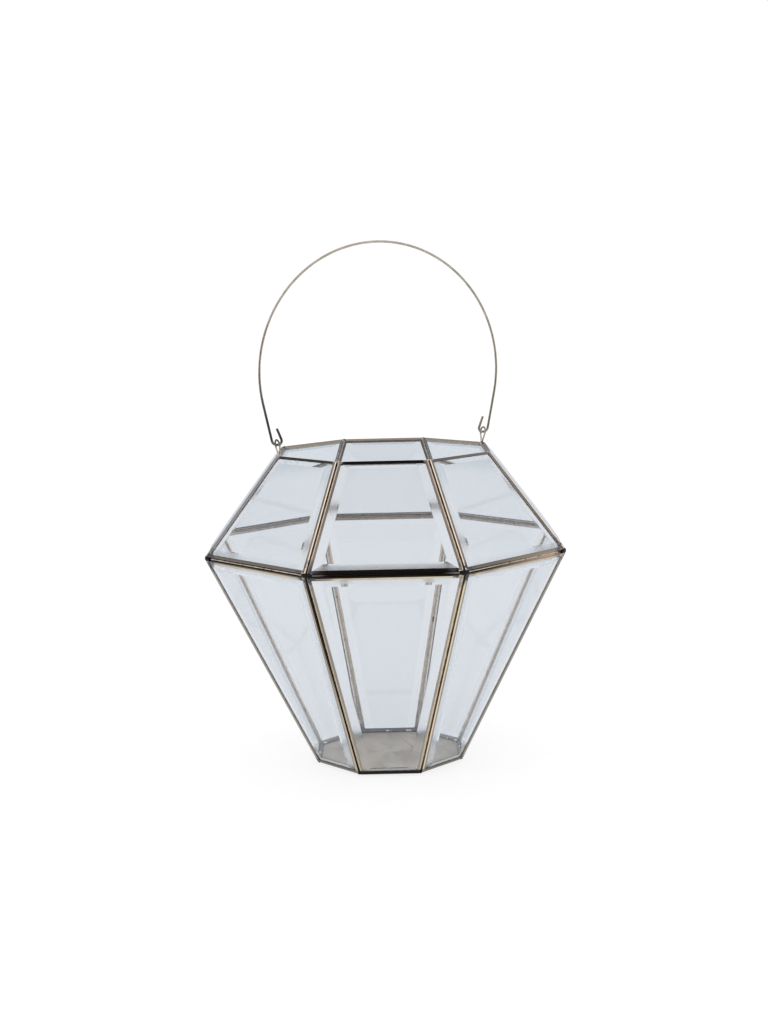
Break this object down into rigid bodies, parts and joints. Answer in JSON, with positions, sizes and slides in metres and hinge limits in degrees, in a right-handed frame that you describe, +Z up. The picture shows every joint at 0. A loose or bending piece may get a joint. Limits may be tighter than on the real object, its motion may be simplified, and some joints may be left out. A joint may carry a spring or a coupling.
{
  "type": "candle lantern",
  "caption": "Octagonal bevelled-glass candle lantern with brass-bound soldered panes, a sheet-metal base, an open top and a swinging wire bail handle.",
  "frame": {"origin": "middle of the underside of the base, where the lantern stands", "axes": "+Z up, X along the bail's hinge line through the two eyelets, Y across it"},
  "size_m": [0.264, 0.264, 0.3623],
  "materials": {
    "bevelled_glass": "clear polished float glass with ground and polished bevels",
    "antique_brass": "antiqued brass channel, brown-black in the grooves, worn bright on the bends",
    "base_sheet": "dull grey-beige sheet metal, lightly scratched",
    "solder": "tin solder, patinated dark with bright flecks",
    "brass_wire": "antiqued brass wire, satin"
  },
  "bodies": {
    "lantern": {"lower_glass_1": "bevelled_glass", "lower_glass_2": "bevelled_glass", "lower_glass_3": "bevelled_glass", "lower_glass_4": "bevelled_glass", "lower_glass_5": "bevelled_glass", "lower_glass_6": "bevelled_glass", "lower_glass_7": "bevelled_glass", "lower_glass_8": "bevelled_glass", "upper_glass_1": "bevelled_glass", "upper_glass_2": "bevelled_glass", "upper_glass_3": "bevelled_glass", "upper_glass_4": "bevelled_glass", "upper_glass_5": "bevelled_glass", "upper_glass_6": "bevelled_glass", "upper_glass_7": "bevelled_glass", "upper_glass_8": "bevelled_glass", "lower_came_1": "antique_brass", "lower_came_2": "antique_brass", "lower_came_3": "antique_brass", "lower_came_4": "antique_brass", "lower_came_5": "antique_brass", "lower_came_6": "antique_brass", "lower_came_7": "antique_brass", "lower_came_8": "antique_brass", "upper_came_1": "antique_brass", "upper_came_2": "antique_brass", "upper_came_3": "antique_brass", "upper_came_4": "antique_brass", "upper_came_5": "antique_brass", "upper_came_6": "antique_brass", "upper_came_7": "antique_brass", "upper_came_8": "antique_brass", "base_came": "antique_brass", "base_plate": "base_sheet", "base_solder": "solder", "waist_solder": "solder", "rim_solder": "solder", "base_seam_solder": "solder", "lower_seam_solder": "solder", "waist_seam_solder": "solder", "upper_seam_solder": "solder", "eyelet_left": "brass_wire", "eyelet_right": "brass_wire"},
    "bail": {"bail": "brass_wire"}
  },
  "joints": [
    {"name": "bail_swing", "type": "hinge", "parent": "lantern", "child": "bail", "pos_m": [0, 0, 0.22658], "axis": [1, 0, 0], "range_deg": [-115.5, 115.5]}
  ]
}
